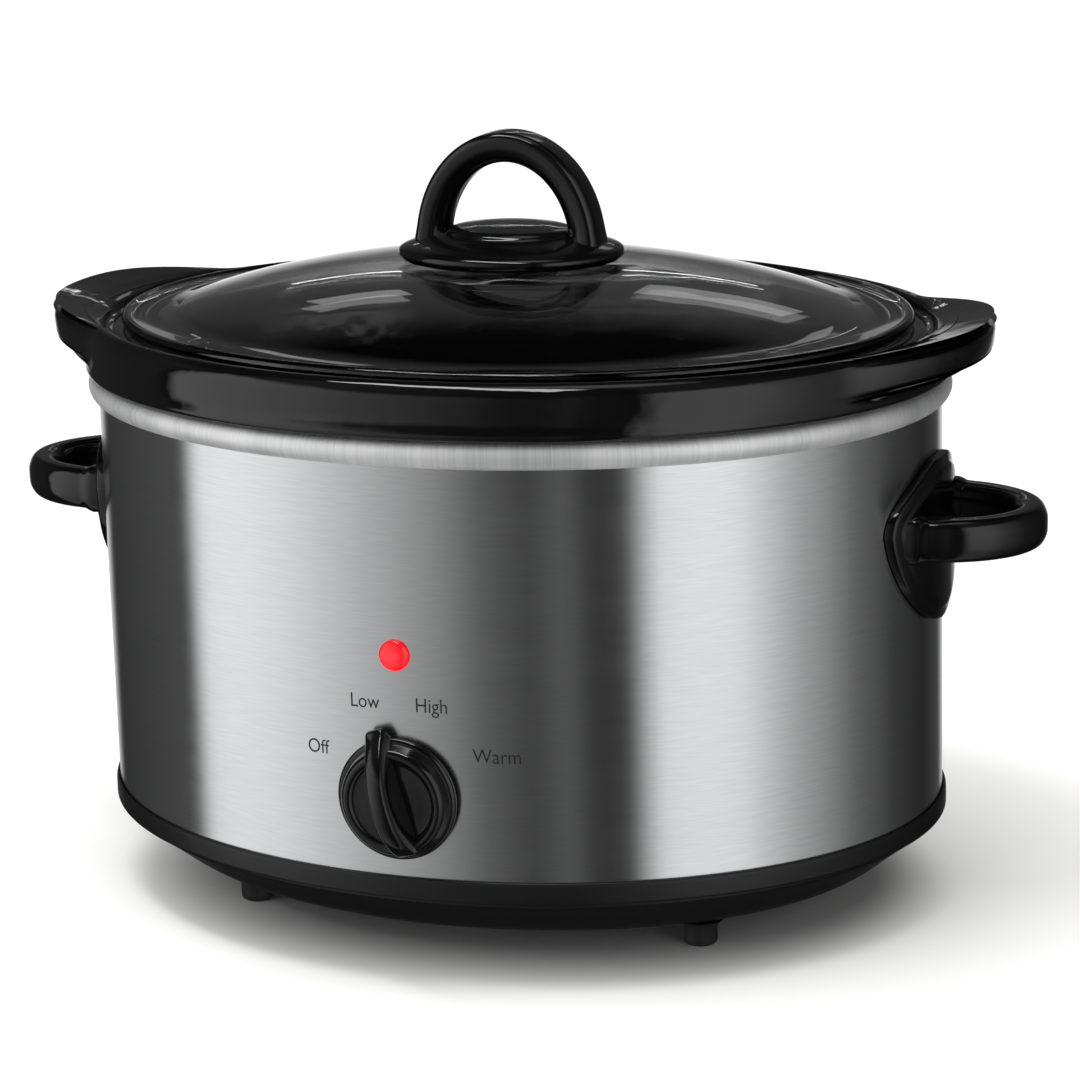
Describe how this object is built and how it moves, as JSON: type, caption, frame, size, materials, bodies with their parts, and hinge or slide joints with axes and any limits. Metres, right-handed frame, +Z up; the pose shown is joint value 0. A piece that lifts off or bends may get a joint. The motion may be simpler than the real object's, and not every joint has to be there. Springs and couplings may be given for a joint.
{
  "type": "slow cooker",
  "caption": "Oval slow cooker with a lift-out glazed stoneware pot, domed glass lid, brushed steel body, side handles and a rotary heat control.",
  "frame": {"origin": "centre of the whole object's footprint, at the height of the feet's undersides", "axes": "+Z up, +X along the oval's long axis, to the right of someone facing the controls, -Y towards that person"},
  "size_m": [0.362, 0.2514, 0.2569],
  "materials": {
    "brushed_stainless": "horizontally brushed stainless sheet",
    "satin_aluminium": "satin, rolled bead brushed crosswise",
    "glazed_stoneware": "gloss black glaze",
    "clear_glass": "clear pressed glass",
    "gloss_phenolic": "gloss black moulding",
    "satin_plastic": "satin black moulding",
    "foot_rubber": "matt black rubber",
    "silicone": "black silicone",
    "zinc_steel": "zinc plated",
    "mica": "mica sheet",
    "glass_fibre": "woven glass fibre",
    "nylon": "natural nylon",
    "red_lens": "translucent red, lit",
    "lead_insulation": "silicone lead insulation"
  },
  "bodies": {
    "base": {"outer_band": "brushed_stainless", "heating_liner": "satin_aluminium", "side_handle_left": "gloss_phenolic", "side_handle_right": "gloss_phenolic", "base_ring": "satin_plastic", "base_pan": "satin_plastic", "foot_front_left": "foot_rubber", "foot_front_right": "foot_rubber", "foot_rear_left": "foot_rubber", "foot_rear_right": "foot_rubber", "cord_gland": "foot_rubber", "handle_screw_right_front": "zinc_steel", "handle_screw_right_rear": "zinc_steel", "handle_screw_left_front": "zinc_steel", "handle_screw_left_rear": "zinc_steel", "tie_screw_front": "zinc_steel", "tie_screw_rear": "zinc_steel", "tie_bracket": "zinc_steel", "element_strap": "zinc_steel", "fuse_clip": "zinc_steel", "switch_nut": "zinc_steel", "heating_element": "mica", "element_insulation": "glass_fibre", "switch_body": "nylon", "indicator_body": "nylon", "thermal_fuse": "nylon", "terminal_block": "nylon", "indicator_lens": "red_lens", "lead_live": "lead_insulation", "lead_neutral": "lead_insulation", "lead_lamp": "lead_insulation"},
    "crock": {"stoneware_pot": "glazed_stoneware"},
    "lid": {"lid_glass": "clear_glass", "lid_knob": "gloss_phenolic", "lid_gasket": "silicone", "lid_washer": "zinc_steel", "lid_screw": "zinc_steel"},
    "knob": {"control_knob": "gloss_phenolic", "knob_clip": "zinc_steel", "switch_spindle": "zinc_steel"}
  },
  "joints": [
    {"name": "crock_lift", "type": "slide", "parent": "base", "child": "crock", "axis": [0, 0, 1], "range_m": [0, 0.16]},
    {"name": "lid_lift", "type": "slide", "parent": "crock", "child": "lid", "axis": [0, 0, 1], "range_m": [0, 0.1]},
    {"name": "knob_turn", "type": "hinge", "parent": "base", "child": "knob", "pos_m": [0, -0.11325, 0.063], "axis": [0, 1, 0], "range_deg": [-42, 84]}
  ]
}
